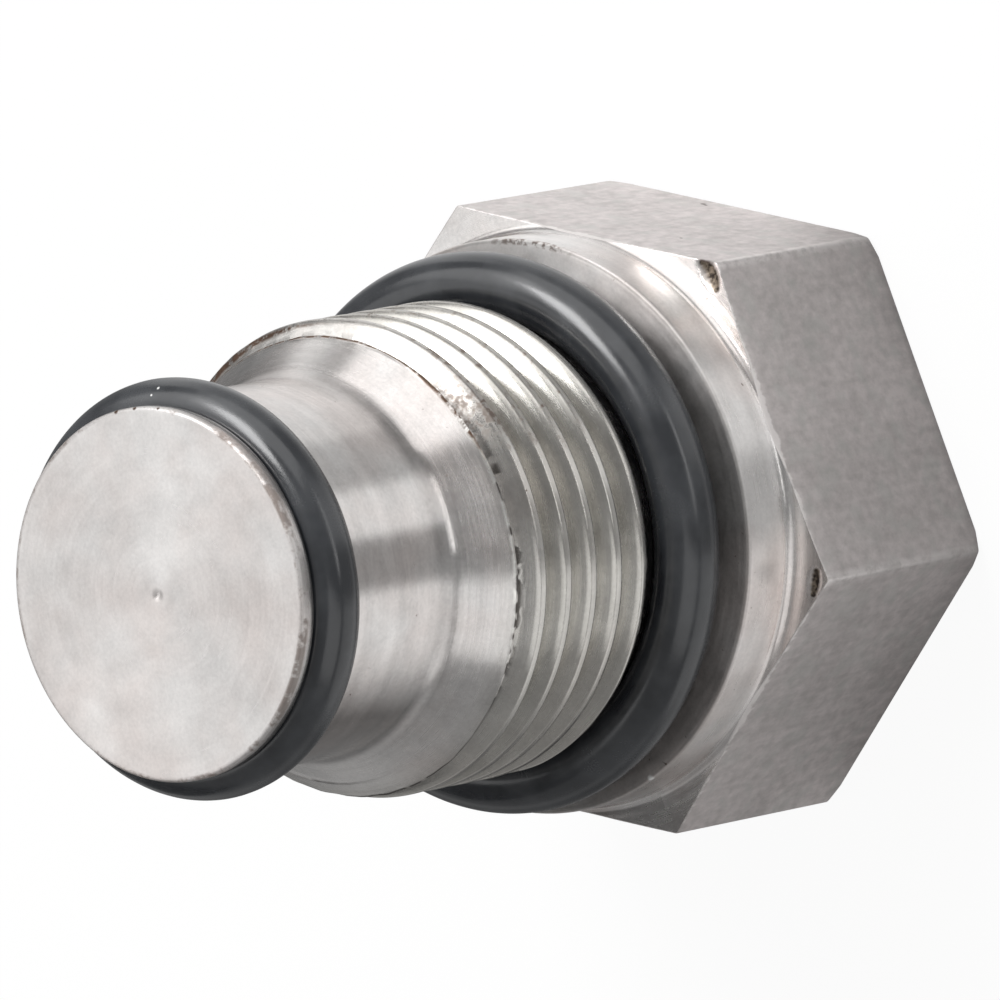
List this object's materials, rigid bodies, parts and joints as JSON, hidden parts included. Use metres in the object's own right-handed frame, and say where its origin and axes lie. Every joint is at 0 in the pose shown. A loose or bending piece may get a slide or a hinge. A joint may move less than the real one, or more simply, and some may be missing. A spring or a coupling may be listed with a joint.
{
  "type": "closed center plug",
  "caption": "Hexagon-head hydraulic valve plug with a straight thread, a rubber ring by the collar and a smooth solid nose sealed by a rubber ring.",
  "frame": {"origin": "centre of the flat end of the hexagon head, on which the plug stands", "axes": "+Z along the plug's centre line, from the head to the nose; two corners of the hexagon lie on the X axis and two flats face +Y and -Y"},
  "size_m": [0.0312, 0.027, 0.0407],
  "materials": {
    "plug_steel": "turned and milled bare steel, satin, with a matt scaly hexagon",
    "boss_ring_rubber": "black moulded rubber, slightly glossy",
    "nose_ring_rubber": "black moulded rubber, slightly glossy"
  },
  "bodies": {
    "root": {"plug_body": "plug_steel", "boss_o_ring": "boss_ring_rubber", "nose_o_ring": "nose_ring_rubber"}
  },
  "joints": []
}
